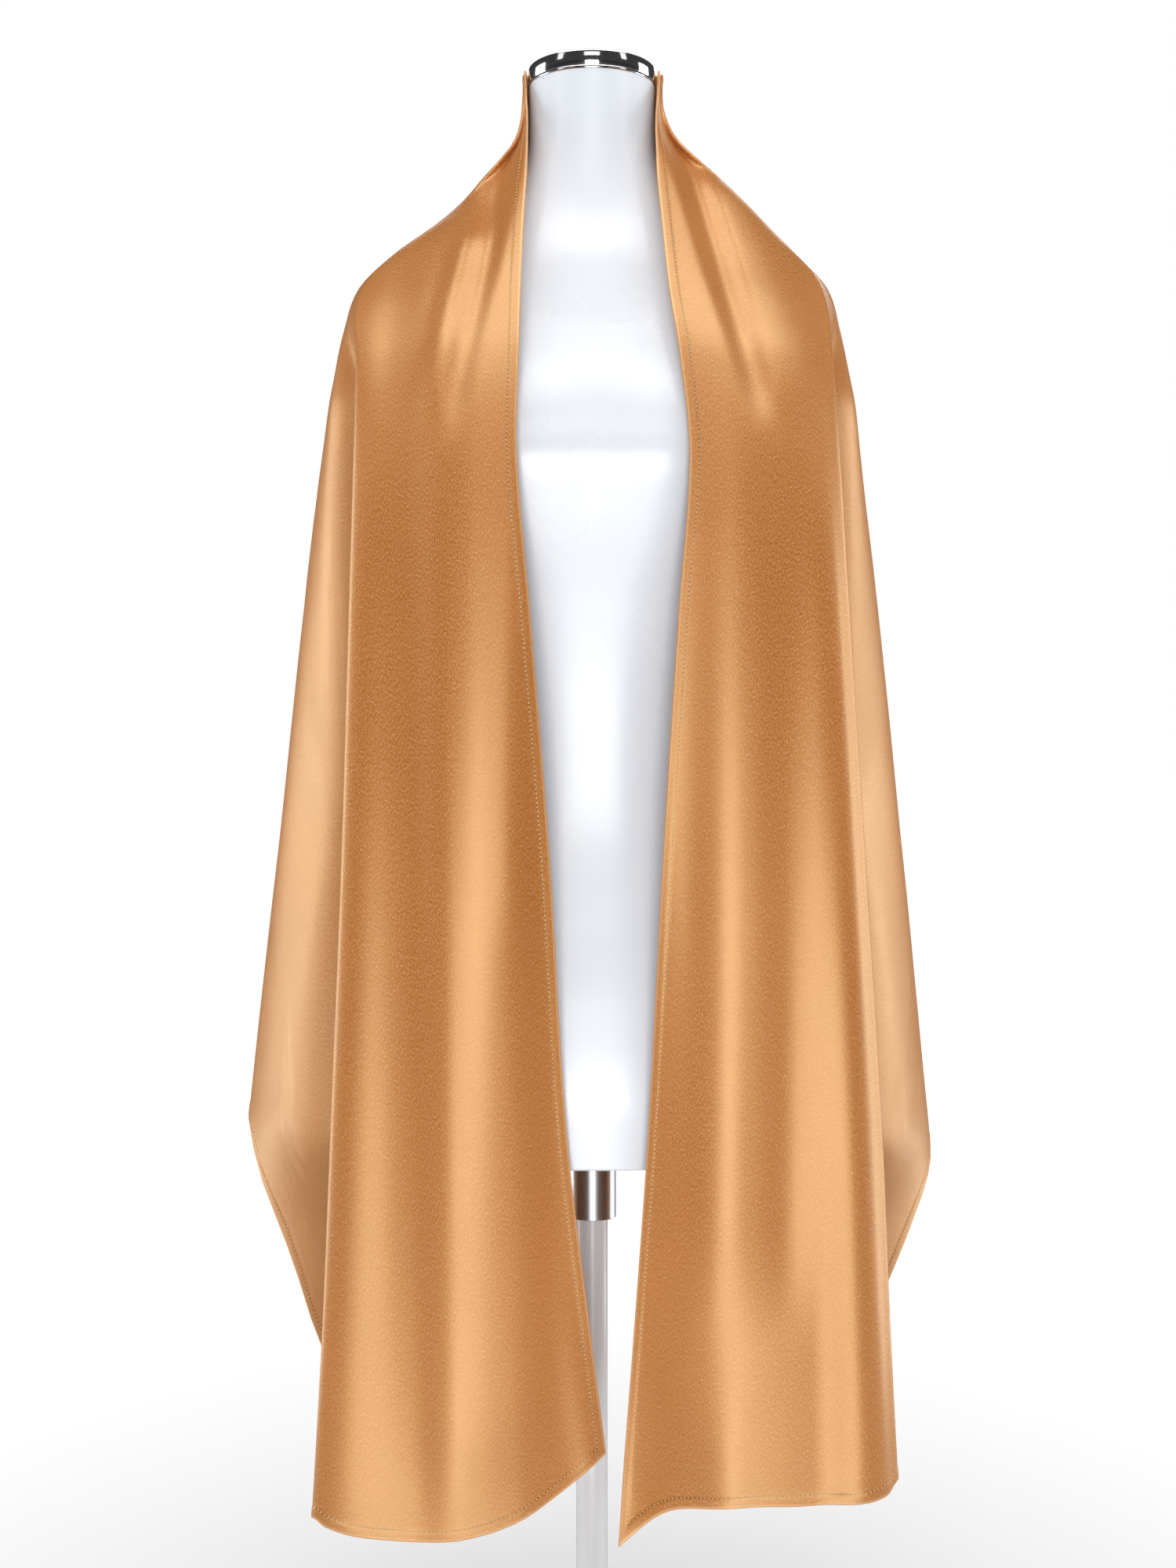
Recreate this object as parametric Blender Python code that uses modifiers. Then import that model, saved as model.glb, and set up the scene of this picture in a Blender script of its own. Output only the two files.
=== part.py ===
# Evening stole: one satin rectangle worn round the neck and shoulders of a dress form on a stand.
# The origin is on the floor under the neck. The front of the form faces -Y, and +Z is up.

import math

import bpy
from mathutils import Vector

MM = 0.001

# Cloth. Heights and places in the tables below are in millimetres.
CLOTH_WALL = 1.6
TOP_EDGE_AT_FRONT = 1149.0
TOP_EDGE_AT_BACK = 1156.0
FOLD_TURN = 9.0
LOOSE_TURN = 0.25  # share of the fold's turn where the cloth isn't folded yet
TURN_OUT = 0.9
TURN_BACK = 0.8
TUCK_START = 990.0
TUCK_FULL = 905.0
ROWS = 26
ROW_CROWDING = 1.22
COLUMNS_IN_SPAN = (5, 5, 5, 2, 2, 3, 3, 3, 3, 4, 4, 4, 4)
PANEL_BULGE = 9.0  # how far a front panel stands out between its edges
PANEL_BULGE_TOP = 1130.0
PANEL_BULGE_GROWTH = 200.0
LOOSE_SHARES = (0.12, 0.38, 0.55, 0.70, 0.86)  # from front fold to side, where the cloth isn't folded yet
MIDDLE_DEPTH = 2.1  # in folds' depths behind the front fold
SECOND_TUCK_DEPTH = 3.2
LOBE_SHARE = 0.55
LOBE_BULGE = 12.0
CORNER_OUT = 0.87
CORNER_BACK = 0.56
QUARTER_OUT = 0.47
CREASE_FADE = 0.2  # share of its length over which a crease fades in and out
FRONT_CREASES_END = 3.6  # stations from the cloth's edge
FRONT_CREASES_FADE = 1.2
BACK_CREASES_START = 10.2
BACK_CREASES_FADE = 0.8

# Neck, band, torso and stand
BAND_RADIUS = 44.8
BAND_WALL = 3.8
BAND_HEIGHT = 12.4
BAND_EDGE = 0.9
LIP_HEIGHT = 1.5
LIP_STEP = 0.2
PLATE_DROP = 3.0
PLATE_EDGE = 1.5
SEAM = 0.3
AXIS_MERGE = 0.01
POLE_RADIUS = 11.0
SOCKET_RADIUS = 17.0
SOCKET_LENGTH = 46.0
SOCKET_FILLET = 3.0
FLANGE_RADIUS = 34.0
FLANGE_THICKNESS = 5.0
FLANGE_EDGE = 1.0
BASE_RADIUS = 155.0
BASE_THICKNESS = 10.0
BASE_EDGE = 3.0
ROUND_INSET = 0.3  # how far a rounded edge's middle lies in from its corner, as a share of its size
BOSS_RADIUS = 19.0
BOSS_HEIGHT = 14.0
BOSS_EDGE = 2.0
BOSS_FOOT = 9.0
WIDE_STEPS = 56
PLATE_STEPS = 40
NARROW_STEPS = 32

# One row for each level: the inner edge, the rounded front fold, and the outermost line of the side.
LEFT_LEVELS = (
    # z, edge_x, edge_y, fold_x, fold_y, side_x, side_y
    (1160, -46.8, 2, -47.8, 13, -41.0, 28),
    (1149, -46.8, -2, -48.2, 10, -41.5, 26),
    (1125, -45.6, -22, -48.4, -5, -45.5, 18),
    (1110, -44.6, -32, -49.5, -12, -51.8, 14),
    (1095, -44.3, -42, -53.5, -18, -61.0, 12),
    (1080, -44.2, -51, -64.0, -23, -75.0, 12),
    (1060, -44.4, -62, -79.5, -28, -92.3, 12),
    (1045, -45.0, -70, -90.5, -30, -110.5, 13),
    (1025, -45.8, -80, -117.0, -32, -139.7, 15),
    (1000, -46.5, -92, -149.0, -34, -165.2, 16),
    (970, -47.2, -104, -159.6, -55, -175.4, 22),
    (930, -47.8, -117, -156.3, -80, -180.5, 30),
    (860, -48.6, -132, -155.8, -100, -195.1, 42),
    (760, -40.2, -138, -157.6, -110, -210.2, 55),
    (600, -27.6, -140, -161.7, -116, -229.9, 72),
    (430, -17.5, -136, -168.4, -117, -250.0, 85),
    (300, -2.6, -130, -173.4, -119, -264.0, 92),
    (160, 15.0, -112, -181.0, -121, -276.0, 98),
)
RIGHT_LEVELS = (
    # z, edge_x, edge_y, fold_x, fold_y, side_x, side_y
    (1160, 46.8, 2, 49.0, 13, 43.0, 28),
    (1149, 46.8, -2, 49.6, 10, 43.5, 26),
    (1125, 45.4, -22, 49.2, -5, 46.4, 18),
    (1110, 44.2, -32, 52.5, -12, 57.0, 14),
    (1095, 43.7, -42, 59.5, -18, 71.2, 12),
    (1080, 43.9, -51, 74.0, -23, 88.0, 12),
    (1060, 44.1, -62, 94.0, -28, 108.8, 12),
    (1045, 45.0, -70, 108.5, -30, 123.5, 13),
    (1025, 46.5, -80, 126.5, -32, 143.9, 15),
    (1000, 48.3, -92, 151.0, -34, 166.8, 16),
    (970, 51.0, -104, 158.6, -55, 175.8, 22),
    (930, 56.6, -117, 159.2, -80, 179.8, 30),
    (860, 62.8, -132, 162.0, -100, 192.3, 42),
    (760, 55.6, -138, 166.7, -110, 208.4, 55),
    (600, 45.4, -140, 176.1, -116, 227.2, 72),
    (430, 36.7, -138, 186.5, -117, 244.1, 85),
    (300, 27.9, -136, 191.6, -119, 259.0, 92),
    (160, 17.6, -128, 198.5, -121, 271.0, 98),
)
BACK_LEVELS = (
    # z, y at the centre of the back
    (1160, 48.5), (1125, 54), (1095, 63), (1060, 77), (1025, 89), (1000, 97), (960, 106),
    (900, 114), (800, 119), (600, 127), (430, 134), (160, 142),
)
# How far in each hidden fold behind the front reaches, as a share of the fold's own distance out.
TUCK_LEVELS = (
    # z, first tuck, middle layer, second tuck, depth from fold to fold
    (1000, 0.95, 0.97, 0.99, 12.0),
    (930, 0.88, 0.97, 0.98, 15.0),
    (860, 0.79, 0.96, 0.93, 19.0),
    (810, 0.69, 0.96, 0.89, 20.0),
    (760, 0.55, 0.96, 0.81, 21.0),
    (630, 0.38, 0.96, 0.71, 22.0),
    (560, 0.44, 0.96, 0.81, 22.0),
    (500, 0.52, 0.96, 0.87, 22.0),
    (430, 0.60, 0.96, 0.90, 22.0),
    (395, 0.58, 0.96, 0.88, 22.0),
    (330, 0.38, 0.95, 0.56, 25.0),
    (160, 0.30, 0.95, 0.36, 27.0),
)
# Hem heights at stations across the cloth: 0 is the inner edge, 4 the front fold, 13 the centre back.
HEM = (
    # station, left z, right z
    (0.0, 214, 160), (0.5, 194.5, 184), (1.0, 178, 190.5), (1.5, 169, 192.5), (2.0, 166, 191.5),
    (2.5, 169, 193.5), (3.0, 176, 197), (3.5, 179.5, 202), (4.0, 179, 204), (6.0, 184, 209), (7.5, 193, 215),
    (8.5, 207, 226), (8.8, 217, 238), (9.0, 254, 262), (9.2, 307, 296), (9.4, 349, 329),
    (9.6, 393, 358), (9.8, 405, 380), (10.1, 414, 398), (11.0, 446, 444), (13.0, 458, 458),
)
# Soft ridges (height above 0) and troughs (below 0) that run down the cloth.
CREASES = (
    # face, x_top, x_bottom, z_top, z_bottom, half_width, height_top, height_bottom
    ("front", -90, -80, 900, 160, 32, 4.0, 9.0),
    ("front", -62, -50, 900, 160, 32, 4.0, 9.0),
    ("front", -126, -134, 880, 160, 26, -3.0, -6.0),
    ("front", -46, 4, 760, 160, 40, -1.0, -10.0),
    ("front", 158, 172, 760, 160, 34, 4.0, 11.0),
    ("front", 90, 80, 820, 230, 28, 2.5, 6.0),
    ("front", 121, 123, 820, 230, 18, -2.5, -4.0),
    ("front", 56, 16, 760, 160, 42, -1.0, -15.0),
    ("front", -58, -92, 1090, 880, 17, -12.0, -3.0),
    ("front", -80, -104, 1010, 885, 19, 7.0, 2.0),
    ("front", 60, 108, 1090, 890, 20, -14.0, -4.0),
    ("front", 92, 128, 1030, 890, 24, 7.0, 2.0),
    ("back", -172, -196, 900, 430, 32, 0.0, 12.0),
    ("back", -112, -134, 930, 430, 34, 0.0, -16.0),
    ("back", -58, -70, 900, 430, 34, 0.0, 15.0),
    ("back", -4, -12, 930, 430, 34, 0.0, -15.0),
    ("back", 52, 48, 900, 430, 34, 0.0, 16.0),
    ("back", 108, 112, 930, 430, 34, 0.0, -15.0),
    ("back", 166, 180, 900, 430, 34, 0.0, 13.0),
)
# The torso, from the underside to the neck.
TORSO_LEVELS = (
    # z, half_width, front, back, squareness, bust
    (398, 143, 105, 104, 2.2, 0),
    (440, 148, 107, 110, 2.2, 0),
    (500, 142, 100, 112, 2.2, 0),
    (560, 128, 92, 101, 2.2, 0),
    (630, 114, 86, 88, 2.2, 0),
    (700, 117, 88, 87, 2.2, 0),
    (770, 128, 97, 92, 2.3, 2),
    (830, 137, 110, 97, 2.4, 7),
    (870, 142, 116, 100, 2.4, 8),
    (910, 147, 109, 102, 2.4, 5),
    (950, 154, 92, 101, 2.4, 1),
    (975, 159, 78, 93, 2.4, 0),
    (990, 155.5, 69, 86, 2.3, 0),
    (1004, 142, 61, 79, 2.2, 0),
    (1018, 121, 55, 72, 2.1, 0),
    (1035, 94, 50, 64, 2.0, 0),
    (1055, 68, 46.6, 55, 2.0, 0),
    (1075, 52, 45, 49, 2.0, 0),
    (1095, 45.6, 44.3, 45.2, 2.0, 0),
    (1137.3, 44.2, 44.2, 44.2, 2.0, 0),
)
TORSO_RINGS_IN_LEVEL = 2
TORSO_COLUMNS = 40
BUST_CENTRE = 72.0
BUST_SPREAD = 46.0


def smooth_row(rows, at):
    """The row's values at a height or station, read from a smooth curve through the table's rows."""
    keys = [row[0] for row in rows]
    if keys[0] > keys[-1]:
        rows = rows[::-1]
        keys = keys[::-1]
    at = min(max(at, keys[0]), keys[-1])
    i = 0
    while i < len(keys) - 2 and at > keys[i + 1]:
        i += 1
    span = keys[i + 1] - keys[i]
    t = (at - keys[i]) / span

    def slope(j, column):
        low, high = max(j - 1, 0), min(j + 1, len(keys) - 1)
        return (rows[high][column] - rows[low][column]) / (keys[high] - keys[low])

    values = []
    for column in range(1, len(rows[0])):
        a, b = rows[i][column], rows[i + 1][column]
        values.append(
            a * (1 + 2 * t) * (1 - t) ** 2
            + slope(i, column) * span * t * (1 - t) ** 2
            + b * t * t * (3 - 2 * t)
            + slope(i + 1, column) * span * t * t * (t - 1)
        )
    return values


def ease(value):
    value = min(max(value, 0.0), 1.0)
    return value * value * (3 - 2 * value)


def mix(a, b, share):
    return tuple(p + (q - p) * share for p, q in zip(a, b))


def half_section(levels, out, z):
    """Control points of one half of the cloth at height z, from the inner edge to the quarter of the back."""
    edge_x, edge_y, fold_x, fold_y, side_x, side_y = smooth_row(levels, z)
    back_y = smooth_row(BACK_LEVELS, z)[0]
    tuck_share, middle_share, tuck_two_share, step = smooth_row(TUCK_LEVELS, z)
    tucked = ease((TUCK_START - z) / (TUCK_START - TUCK_FULL))
    turn = FOLD_TURN * (LOOSE_TURN + (1 - LOOSE_TURN) * tucked)
    edge, fold, side = (edge_x, edge_y), (fold_x, fold_y), (side_x, side_y)
    panel_end = (fold_x - out * turn * TURN_OUT, fold_y - turn * TURN_BACK)
    bulge = PANEL_BULGE * ease((PANEL_BULGE_TOP - z) / PANEL_BULGE_GROWTH)

    def panel(share):
        x, y = mix(edge, panel_end, share)
        return x, y - bulge * math.sin(math.pi * share)

    loose = [mix(fold, side, share) for share in LOOSE_SHARES]
    reach = abs(fold_x)
    tuck_two = (out * reach * tuck_two_share, fold_y + SECOND_TUCK_DEPTH * step)
    lobe_x, lobe_y = mix(tuck_two, side, LOBE_SHARE)
    folded = [
        (fold_x - out * turn, fold_y + turn * TURN_BACK),
        (out * reach * tuck_share, fold_y + step),
        (out * reach * middle_share, fold_y + MIDDLE_DEPTH * step),
        tuck_two,
        (lobe_x + out * LOBE_BULGE, lobe_y - LOBE_BULGE),
    ]
    between = [mix(a, b, tucked) for a, b in zip(loose, folded)]
    corner = (side_x * CORNER_OUT, side_y + CORNER_BACK * (back_y - side_y))
    quarter = (side_x * QUARTER_OUT, back_y)
    return [edge, panel(1 / 3), panel(2 / 3), panel_end, fold, *between, side, corner, quarter]


def curve_through(points, i, t):
    """A point between points i and i + 1 of a smooth curve through all of them."""
    p = [Vector(points[min(max(j, 0), len(points) - 1)]) for j in range(i - 1, i + 3)]
    if i == 0:
        p[0] = p[1] * 2 - p[2]
    if i == len(points) - 2:
        p[3] = p[2] * 2 - p[1]
    knots = [0.0]
    for a, b in zip(p, p[1:]):
        knots.append(knots[-1] + max((b - a).length, 1e-6) ** 0.5)
    u = knots[1] + (knots[2] - knots[1]) * t
    a = [p[j].lerp(p[j + 1], (u - knots[j]) / (knots[j + 1] - knots[j])) for j in range(3)]
    b = [a[j].lerp(a[j + 1], (u - knots[j]) / (knots[j + 2] - knots[j])) for j in range(2)]
    return b[0].lerp(b[1], (u - knots[1]) / (knots[2] - knots[1]))


def crease_height(face, x, z):
    """How far the ridges and troughs of a face move the cloth out at this place."""
    total = 0.0
    for where, x_top, x_bottom, z_top, z_bottom, half_width, top, bottom in CREASES:
        if where != face:
            continue
        down = (z_top - z) / (z_top - z_bottom)
        fade = ease(down / CREASE_FADE + 1) * ease((1 - down) / CREASE_FADE + 0.5)
        away = (x - x_top - (x_bottom - x_top) * down) / half_width
        if abs(away) < 1:
            level = min(max(down, 0.0), 1.0)
            total += (top + (bottom - top) * level) * fade * (0.5 + 0.5 * math.cos(math.pi * away))
    return total


def cloth_point(station, z):
    """A point of the cloth's middle surface. Stations run 0 to 26, from the left edge to the right."""
    left = half_section(LEFT_LEVELS, -1, z)
    right = half_section(RIGHT_LEVELS, 1, z)
    back_y = smooth_row(BACK_LEVELS, z)[0]
    points = left + [(0.0, back_y)] + right[::-1]
    i = min(int(station), len(points) - 2)
    x, y = curve_through(points, i, station - i)
    from_edge = min(station, 26 - station)
    on_front = ease((FRONT_CREASES_END - from_edge) / FRONT_CREASES_FADE)
    on_back = ease((from_edge - BACK_CREASES_START) / BACK_CREASES_FADE)
    y -= on_front * crease_height("front", x, z)
    y += on_back * crease_height("back", x, z)
    return x, y, z


def cloth_stations():
    stations = []
    for span, count in enumerate(COLUMNS_IN_SPAN):
        stations += [span + step / count for step in range(count)]
    return stations + [13.0] + [26 - station for station in reversed(stations)]


def top_and_hem(station):
    from_edge = min(station, 26 - station)
    left, right = smooth_row(HEM, from_edge)
    top = TOP_EDGE_AT_FRONT + (TOP_EDGE_AT_BACK - TOP_EDGE_AT_FRONT) * ease(from_edge / 13)
    return top, left if station <= 13 else right


def material(name, colour, roughness, metallic=0.0):
    made = bpy.data.materials.new(name)
    made.use_nodes = True
    shader = made.node_tree.nodes["Principled BSDF"]
    shader.inputs["Base Color"].default_value = (*colour, 1.0)
    shader.inputs["Roughness"].default_value = roughness
    shader.inputs["Metallic"].default_value = metallic
    return made


def add_mesh(name, points, faces, finish, collection):
    """A new object from points in millimetres."""
    mesh = bpy.data.meshes.new(name)
    mesh.from_pydata([tuple(value * MM for value in point) for point in points], [], faces)
    mesh.materials.append(finish)
    mesh.shade_smooth()
    made = bpy.data.objects.new(name, mesh)
    collection.objects.link(made)
    return made


def build_stole(collection):
    stations = cloth_stations()
    points = []
    for row in range(ROWS):
        down = (row / (ROWS - 1)) ** ROW_CROWDING
        for station in stations:
            top, hem = top_and_hem(station)
            points.append(cloth_point(station, top + (hem - top) * down))
    across = len(stations)
    faces = []
    for row in range(ROWS - 1):
        for column in range(across - 1):
            a = row * across + column
            faces.append((a, a + across, a + across + 1, a + 1))
    finish = material("satin_copper", (0.60, 0.27, 0.085), 0.38)
    stole = add_mesh("stole", points, faces, finish, collection)
    wall = stole.modifiers.new("wall", "SOLIDIFY")
    wall.thickness = CLOTH_WALL * MM
    wall.offset = 0.0
    return stole


def torso_ring(z):
    half_width, front, back, squareness, bust = smooth_row(TORSO_LEVELS, z)
    ring = []
    for step in range(TORSO_COLUMNS):
        angle = 2 * math.pi * step / TORSO_COLUMNS
        c, s = math.cos(angle), math.sin(angle)
        power = 2 / squareness
        x = half_width * math.copysign(abs(c) ** power, c)
        depth = back if s > 0 else front
        y = depth * math.copysign(abs(s) ** power, s)
        if s < 0:
            away = (abs(x) - BUST_CENTRE) / BUST_SPREAD
            y -= bust * math.exp(-away * away)
        ring.append((x, y, z))
    return ring


def build_torso(collection):
    levels = [row[0] for row in TORSO_LEVELS]
    heights = [levels[0]]
    for low, high in zip(levels, levels[1:]):
        for step in range(1, TORSO_RINGS_IN_LEVEL + 1):
            heights.append(low + (high - low) * step / TORSO_RINGS_IN_LEVEL)
    points = []
    for z in heights:
        points += torso_ring(z)
    faces = []
    for ring in range(len(heights) - 1):
        for step in range(TORSO_COLUMNS):
            a = ring * TORSO_COLUMNS + step
            b = ring * TORSO_COLUMNS + (step + 1) % TORSO_COLUMNS
            faces.append((a, b, b + TORSO_COLUMNS, a + TORSO_COLUMNS))
    faces.append(tuple(range(TORSO_COLUMNS))[::-1])
    last = (len(heights) - 1) * TORSO_COLUMNS
    faces.append(tuple(range(last, last + TORSO_COLUMNS)))
    finish = material("gloss_white", (0.86, 0.88, 0.91), 0.18)
    return add_mesh("form_body", points, faces, finish, collection)


def turned(name, profile, finish, collection, steps):
    """A closed profile of (radius, height) in millimetres, turned round the Z axis."""
    mesh = bpy.data.meshes.new(name)
    points = [(radius * MM, 0.0, height * MM) for radius, height in profile]
    closed = profile[0][0] > 0
    edges = [(i, i + 1) for i in range(len(points) - 1)]
    if closed:
        edges.append((len(points) - 1, 0))
    mesh.from_pydata(points, edges, [])
    mesh.materials.append(finish)
    made = bpy.data.objects.new(name, mesh)
    collection.objects.link(made)
    screw = made.modifiers.new("turn", "SCREW")
    screw.steps = steps
    screw.render_steps = steps
    screw.use_merge_vertices = True
    screw.merge_threshold = AXIS_MERGE * MM
    return made


def build_neck(collection):
    chrome = material("polished_metal", (0.80, 0.81, 0.83), 0.08, 1.0)
    low = TORSO_LEVELS[-1][0] + SEAM
    high = low + BAND_HEIGHT
    inner = BAND_RADIUS - BAND_WALL
    wall = BAND_RADIUS - LIP_STEP
    band = (
        (BAND_RADIUS - BAND_EDGE, high),
        (wall, high - BAND_EDGE),
        (wall, low + LIP_HEIGHT + LIP_STEP),
        (BAND_RADIUS, low + LIP_HEIGHT),
        (BAND_RADIUS, low),
        (inner, low),
        (inner, high),
    )
    turned("neck_band", band, chrome, collection, WIDE_STEPS)
    rim = inner - SEAM
    plate_top = high - PLATE_DROP
    plate = (
        (0, plate_top),
        (rim - PLATE_EDGE, plate_top),
        (rim, plate_top - PLATE_EDGE),
        (rim, low),
        (0, low),
    )
    turned("neck_plate", plate, chrome, collection, PLATE_STEPS)


def build_stand(collection):
    lacquer = material("white_lacquer", (0.85, 0.86, 0.88), 0.3)
    steel = material("satin_metal", (0.74, 0.75, 0.77), 0.25, 1.0)
    flange_top = TORSO_LEVELS[0][0] - SEAM
    flange_low = flange_top - FLANGE_THICKNESS
    bore = POLE_RADIUS + SEAM
    socket = (
        (0, flange_top),
        (FLANGE_RADIUS, flange_top),
        (FLANGE_RADIUS, flange_low + FLANGE_EDGE),
        (FLANGE_RADIUS - FLANGE_EDGE, flange_low),
        (SOCKET_RADIUS + SOCKET_FILLET, flange_low),
        (SOCKET_RADIUS, flange_low - SOCKET_FILLET),
        (SOCKET_RADIUS, flange_low - SOCKET_LENGTH),
        (bore, flange_low - SOCKET_LENGTH),
        (bore, flange_low),
        (0, flange_low),
    )
    turned("pole_socket", socket, steel, collection, NARROW_STEPS)
    boss_top = BASE_THICKNESS + BOSS_HEIGHT
    base = (
        (0, boss_top),
        (BOSS_RADIUS - BOSS_EDGE, boss_top),
        (BOSS_RADIUS, boss_top - BOSS_EDGE),
        (BOSS_RADIUS + BOSS_FOOT / 2, BASE_THICKNESS + BOSS_FOOT / 3),
        (BOSS_RADIUS + BOSS_FOOT, BASE_THICKNESS),
        (BASE_RADIUS - BASE_EDGE, BASE_THICKNESS),
        (BASE_RADIUS - ROUND_INSET * BASE_EDGE, BASE_THICKNESS - ROUND_INSET * BASE_EDGE),
        (BASE_RADIUS, BASE_THICKNESS - BASE_EDGE),
        (BASE_RADIUS, 0),
        (0, 0),
    )
    turned("stand_base", base, lacquer, collection, WIDE_STEPS)
    pole_low = boss_top + SEAM
    pole_high = flange_low - SEAM
    pole = ((0, pole_high), (POLE_RADIUS, pole_high), (POLE_RADIUS, pole_low), (0, pole_low))
    turned("stand_pole", pole, lacquer, collection, NARROW_STEPS)


def main():
    for old in list(bpy.data.objects):
        bpy.data.objects.remove(old, do_unlink=True)
    collection = bpy.data.collections.new("evening_stole")
    bpy.context.scene.collection.children.link(collection)
    build_torso(collection)
    build_neck(collection)
    build_stand(collection)
    build_stole(collection)


main()
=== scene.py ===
# Looks of the evening stole on its dress form: a fine satin shell with turned hems and topstitching,
# a glossy moulded form with a polished neck band, and a lacquered stand.

import math

import bpy
import numpy as np
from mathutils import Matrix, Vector


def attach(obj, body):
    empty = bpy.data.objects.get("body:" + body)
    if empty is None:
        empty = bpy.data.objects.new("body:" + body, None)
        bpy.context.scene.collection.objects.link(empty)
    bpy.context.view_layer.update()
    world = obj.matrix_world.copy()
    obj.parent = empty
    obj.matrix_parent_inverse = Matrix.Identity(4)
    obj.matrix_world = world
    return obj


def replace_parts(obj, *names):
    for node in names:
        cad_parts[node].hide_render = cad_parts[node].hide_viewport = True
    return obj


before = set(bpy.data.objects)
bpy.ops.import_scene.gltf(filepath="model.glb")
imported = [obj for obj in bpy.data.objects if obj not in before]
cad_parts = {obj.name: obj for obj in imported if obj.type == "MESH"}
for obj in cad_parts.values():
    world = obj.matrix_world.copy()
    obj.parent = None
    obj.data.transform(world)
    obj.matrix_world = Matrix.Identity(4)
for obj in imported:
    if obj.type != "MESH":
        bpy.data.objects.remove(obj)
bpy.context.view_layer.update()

mm = 0.001
print("frame loaded:", sorted(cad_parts))


# General helpers

def readTable(rows, at):
    # every column of a table at the heights or stations asked for, on a smooth curve through its rows
    table = np.array(sorted(rows), float)
    keys = table[:, 0]
    at = np.clip(np.asarray(at, float), keys[0], keys[-1])
    i = np.clip(np.searchsorted(keys, at, side="left") - 1, 0, len(keys) - 2)
    span = keys[i + 1] - keys[i]
    t = (at - keys[i]) / span
    count = np.arange(len(keys))
    low, high = np.maximum(count - 1, 0), np.minimum(count + 1, len(keys) - 1)
    slopes = (table[high] - table[low]) / (keys[high] - keys[low])[:, None]
    a, b = table[i].T, table[i + 1].T
    columns = (
        a * (1 + 2 * t) * (1 - t) ** 2
        + slopes[i].T * span * t * (1 - t) ** 2
        + b * t * t * (3 - 2 * t)
        + slopes[i + 1].T * span * t * t * (t - 1)
    )
    return columns[1:]


def ease(value):
    value = np.clip(value, 0.0, 1.0)
    return value * value * (3 - 2 * value)


def mixed(a, b, share):
    return a + (b - a) * share


def unit(vectors):
    return vectors / np.maximum(np.linalg.norm(vectors, axis=-1, keepdims=True), 1e-9)


def meshPiece(name, points, faces, material):
    # a smooth-shaded object from points in millimetres, riding on the one body
    mesh = bpy.data.meshes.new(name)
    mesh.from_pydata([tuple(p) for p in np.asarray(points) * mm], [], faces)
    mesh.materials.append(material)
    mesh.shade_smooth()
    piece = bpy.data.objects.new(name, mesh)
    bpy.context.scene.collection.objects.link(piece)
    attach(piece, "root")
    return piece


def turnedPiece(name, profile, steps, material):
    # a profile of (radius, height), top to bottom down its outer side, turned round the vertical axis
    points, faces = [], []
    rings = []
    for radius, height in profile:
        if radius < 1e-6:
            rings.append([len(points)] * steps)
            points.append((0.0, 0.0, height))
            continue
        rings.append(list(range(len(points), len(points) + steps)))
        for step in range(steps):
            angle = 2 * math.pi * step / steps
            points.append((radius * math.cos(angle), radius * math.sin(angle), height))
    pairs = list(zip(rings, rings[1:]))
    if profile[0][0] > 1e-6:
        pairs.append((rings[-1], rings[0]))
    for upper, lower in pairs:
        for step in range(steps):
            following = (step + 1) % steps
            face = [upper[step], lower[step], lower[following], upper[following]]
            corners = [v for k, v in enumerate(face) if v != face[k - 1]]
            if len(corners) > 2:
                faces.append(tuple(corners))
    piece = meshPiece(name, points, faces, material)
    piece.data.set_sharp_from_angle(angle=math.radians(38))
    return piece


# Shader helpers and the effects that several finishes share

def newMaterial(name, values):
    material = bpy.data.materials.new(name)
    material.use_nodes = True
    shader = material.node_tree.nodes["Principled BSDF"]
    for socket, value in values.items():
        shader.inputs[socket].default_value = value
    return material, material.node_tree.nodes, material.node_tree.links, shader


def newGroup(name, inputs, outputs):
    group = bpy.data.node_groups.new(name, "ShaderNodeTree")
    for title, kind, value in inputs:
        socket = group.interface.new_socket(title, in_out="INPUT", socket_type=kind)
        if value is not None:
            socket.default_value = value
    for title, kind in outputs:
        group.interface.new_socket(title, in_out="OUTPUT", socket_type=kind)
    return group, group.nodes.new("NodeGroupInput"), group.nodes.new("NodeGroupOutput")


def mathNode(nodes, links, operation, first, second=None, third=None):
    node = nodes.new("ShaderNodeMath")
    node.operation = operation
    for socket, value in zip(node.inputs, (first, second, third)):
        if value is None:
            continue
        if isinstance(value, (int, float)):
            socket.default_value = value
        else:
            links.new(value, socket)
    return node.outputs[0]


def placeGroup(nodes, group, values):
    node = nodes.new("ShaderNodeGroup")
    node.node_tree = group
    for socket, value in values.items():
        node.inputs[socket].default_value = value
    return node


weaveShape = {
    "twillStep": 0.2,  # radians that the twill steps on with each cross thread
    "pickShare": 0.35,  # height of the cross threads beside the long ones
    "threadShare": 0.35,
    "fleckShare": 1.6,
    "fleckDetail": 2.0,
    "fleckRoughness": 0.65,
    "cloudSize": 9.0,
    "cloudDetail": 3.0,
}


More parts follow.
